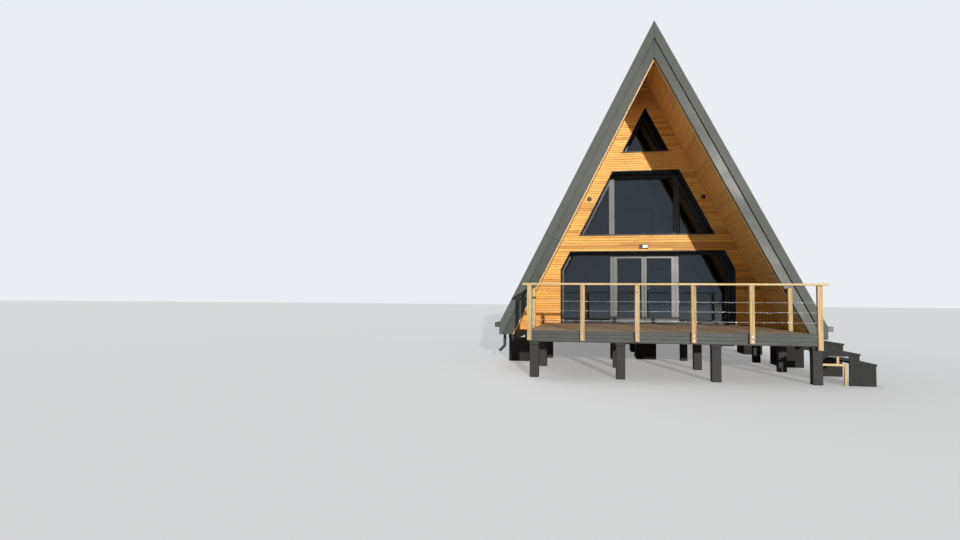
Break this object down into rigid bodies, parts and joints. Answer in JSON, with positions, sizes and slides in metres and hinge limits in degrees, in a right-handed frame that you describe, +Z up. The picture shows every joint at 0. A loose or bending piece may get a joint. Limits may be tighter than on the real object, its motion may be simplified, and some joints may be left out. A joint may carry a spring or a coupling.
{
  "type": "a-frame cabin",
  "caption": "A-frame cabin with a metal roof down to its foundation, larch walls, glazed gable and double door, raised on blocks, with a piered deck, cable rail and side stair.",
  "frame": {"origin": "on the ground at the underside of the middle foundation block, under the ridge and half way between the two verges", "axes": "+Z up, +Y from the glazed front to the back, +X to the right seen from the front"},
  "size_m": [8.0144, 14.3825, 8.515],
  "materials": {
    "blocks": "rough dark concrete",
    "dark_timber": "rough, dark stained",
    "floor_timber": "matt",
    "roof_sheet": "satin, standing seams",
    "trim_sheet": "satin",
    "gutter_sheet": "satin",
    "larch": "oiled horizontal boards",
    "window_paint": "matt",
    "glazing": "clear, dark",
    "dark_plastic": "matt",
    "deck_timber": "weathered boards",
    "fascia_paint": "dark stained",
    "pier_paint": "dark stained",
    "pale_timber": "planed",
    "cable_steel": "twisted wire",
    "stair_paint": "matt"
  },
  "bodies": {
    "cabin": {"foundation_blocks": "blocks", "sill_beams": "dark_timber", "ground_floor": "floor_timber", "upper_floor": "floor_timber", "roof_left": "roof_sheet", "roof_right": "roof_sheet", "soffit_left": "larch", "soffit_right": "larch", "ridge_cap": "roof_sheet", "front_verge_left": "trim_sheet", "front_verge_right": "trim_sheet", "back_verge_left": "trim_sheet", "back_verge_right": "trim_sheet", "gutters": "gutter_sheet", "downpipes": "gutter_sheet", "front_wall_lower": "larch", "front_wall_band": "larch", "front_wall_upper": "larch", "front_wall_gable": "larch", "back_wall_lower": "larch", "back_wall_upper": "larch", "back_wall_gable": "larch", "front_window_frames": "window_paint", "front_window_glass": "glazing", "patio_frame": "window_paint", "patio_glass": "glazing", "back_window_frames": "window_paint", "back_window_glass": "glazing", "wall_lamp": "dark_plastic", "wall_vents": "dark_plastic", "deck_boards": "deck_timber", "deck_fascia": "fascia_paint", "deck_joists": "dark_timber", "deck_beams": "dark_timber", "deck_piers": "pier_paint", "rail_posts": "pale_timber", "rail_cap": "pale_timber", "rail_cables": "cable_steel", "stair_treads": "stair_paint", "stair_stringers": "stair_paint", "stair_support": "pale_timber"},
    "door_left": {"door_left_frame": "window_paint", "door_left_glass": "glazing"},
    "door_right": {"door_right_frame": "window_paint", "door_right_glass": "glazing"}
  },
  "joints": [
    {"name": "door_left_hinge", "type": "hinge", "parent": "cabin", "child": "door_left", "pos_m": [-0.887, -2.387, 2], "axis": [0, 0, 1], "range_deg": [0, 90]},
    {"name": "door_right_hinge", "type": "hinge", "parent": "cabin", "child": "door_right", "pos_m": [0.887, -2.387, 2], "axis": [0, 0, -1], "range_deg": [0, 90]}
  ]
}
